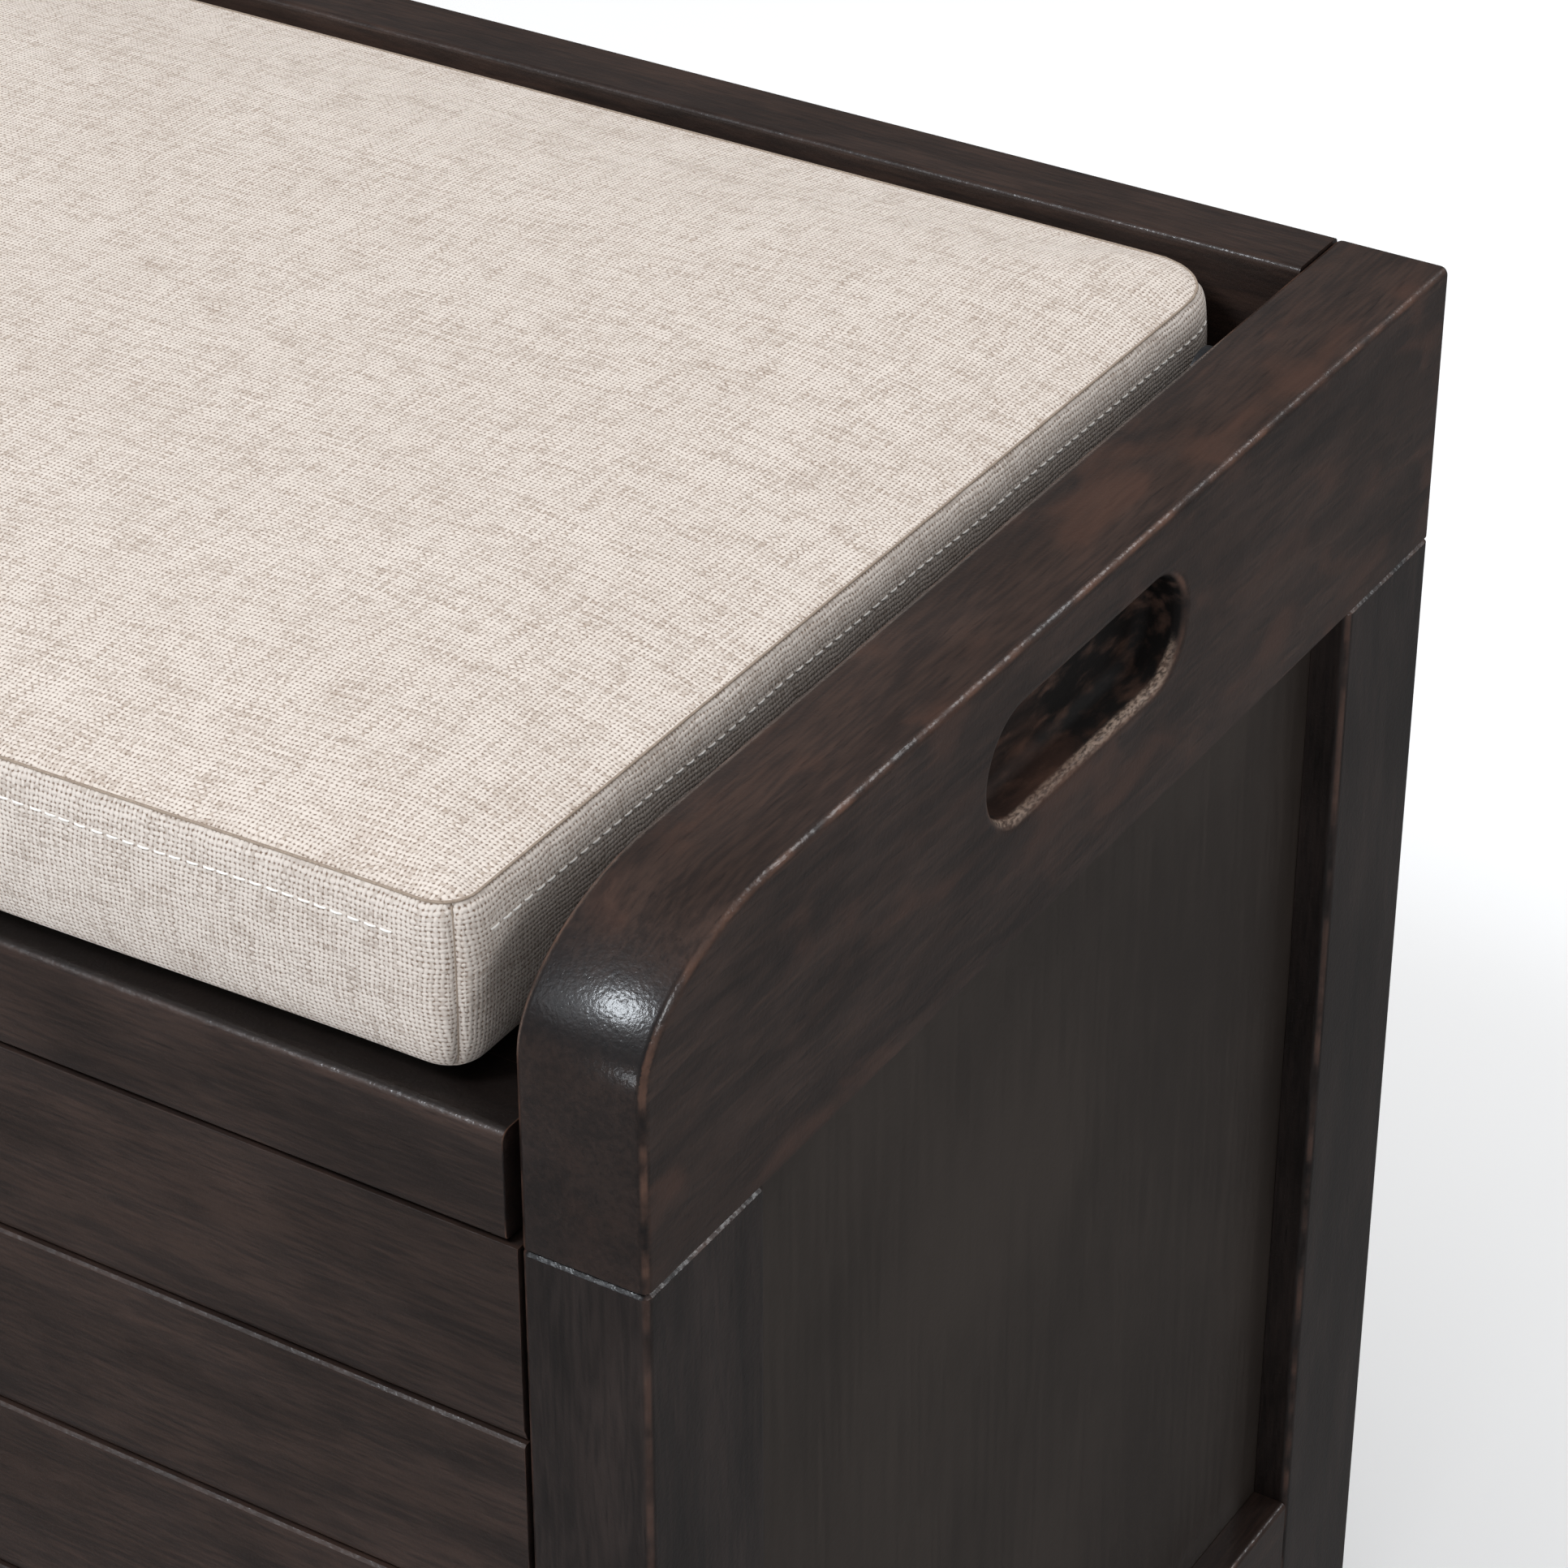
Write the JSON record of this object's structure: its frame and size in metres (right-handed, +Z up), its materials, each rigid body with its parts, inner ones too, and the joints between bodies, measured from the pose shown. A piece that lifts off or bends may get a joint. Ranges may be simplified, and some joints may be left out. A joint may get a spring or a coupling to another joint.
{
  "type": "storage bench",
  "caption": "Dark stained wooden storage bench with a planked front, arm rails with finger pulls, a flip-top lid and a boxed woven seat cushion.",
  "frame": {"origin": "on the floor, under the middle of the bench", "axes": "+X along the width to the right seen from the front, -Y towards the front, +Z up"},
  "size_m": [1.07, 0.4, 0.506],
  "materials": {
    "espresso_wood": "dark espresso stain under satin gloss lacquer, edges rubbed through",
    "stained_panel": "dark stained panel, thin satin lacquer",
    "stained_inner_wood": "dark stained inner timber, matte",
    "bare_beech": "unfinished beech dowel",
    "linen_weave": "oatmeal melange linen-look plain weave",
    "foam": "open cell upholstery foam",
    "hook_and_loop": "black hook-and-loop tape",
    "zinc_steel": "zinc plated steel",
    "black_steel": "black oxide steel",
    "black_plastic": "matte black polyethylene",
    "black_rubber": "soft black rubber"
  },
  "bodies": {
    "frame": {"arm_rail_left": "espresso_wood", "arm_rail_right": "espresso_wood", "back_bottom_rail": "espresso_wood", "back_centre_stile": "espresso_wood", "back_panel_left": "stained_panel", "back_panel_right": "stained_panel", "back_top_rail": "espresso_wood", "bottom_cleat_back": "stained_inner_wood", "bottom_cleat_front": "stained_inner_wood", "bottom_cleat_left": "stained_inner_wood", "bottom_cleat_middle": "stained_inner_wood", "bottom_cleat_right": "stained_inner_wood", "bottom_panel": "stained_panel", "cleat_screws": "zinc_steel", "cross_rail_dowels": "bare_beech", "front_batten_centre": "stained_inner_wood", "front_batten_left": "stained_inner_wood", "front_batten_right": "stained_inner_wood", "front_batten_screws": "zinc_steel", "front_bottom_rail": "espresso_wood", "front_glide_left": "black_plastic", "front_glide_right": "black_plastic", "front_leg_left": "espresso_wood", "front_leg_right": "espresso_wood", "front_plank_1": "espresso_wood", "front_plank_2": "espresso_wood", "front_plank_3": "espresso_wood", "front_plank_4": "espresso_wood", "front_plank_5": "espresso_wood", "front_plank_6": "espresso_wood", "lid_rest_bumpers": "black_rubber", "lid_rest_left": "stained_inner_wood", "lid_rest_right": "stained_inner_wood", "pivot_pin_left": "black_steel", "pivot_pin_right": "black_steel", "pivot_washers": "black_steel", "rear_glide_left": "black_plastic", "rear_glide_right": "black_plastic", "rear_leg_left": "espresso_wood", "rear_leg_right": "espresso_wood", "side_bottom_rail_left": "espresso_wood", "side_bottom_rail_right": "espresso_wood", "side_frame_dowels": "bare_beech", "side_panel_left": "espresso_wood", "side_panel_right": "espresso_wood"},
    "lid": {"cushion_cover": "linen_weave", "cushion_foam": "foam", "cushion_grip_pads": "hook_and_loop", "lid_batten_centre": "stained_inner_wood", "lid_batten_left": "stained_inner_wood", "lid_batten_right": "stained_inner_wood", "lid_batten_screws": "zinc_steel", "lid_front_edge": "espresso_wood", "lid_panel": "espresso_wood", "pivot_plate_left": "black_steel", "pivot_plate_right": "black_steel", "pivot_plate_screws": "black_steel"}
  },
  "joints": [
    {"name": "lid_pivot", "type": "hinge", "parent": "frame", "child": "lid", "pos_m": [0, 0.127, 0.488], "axis": [-1, 0, 0], "range_deg": [0, 78]}
  ]
}
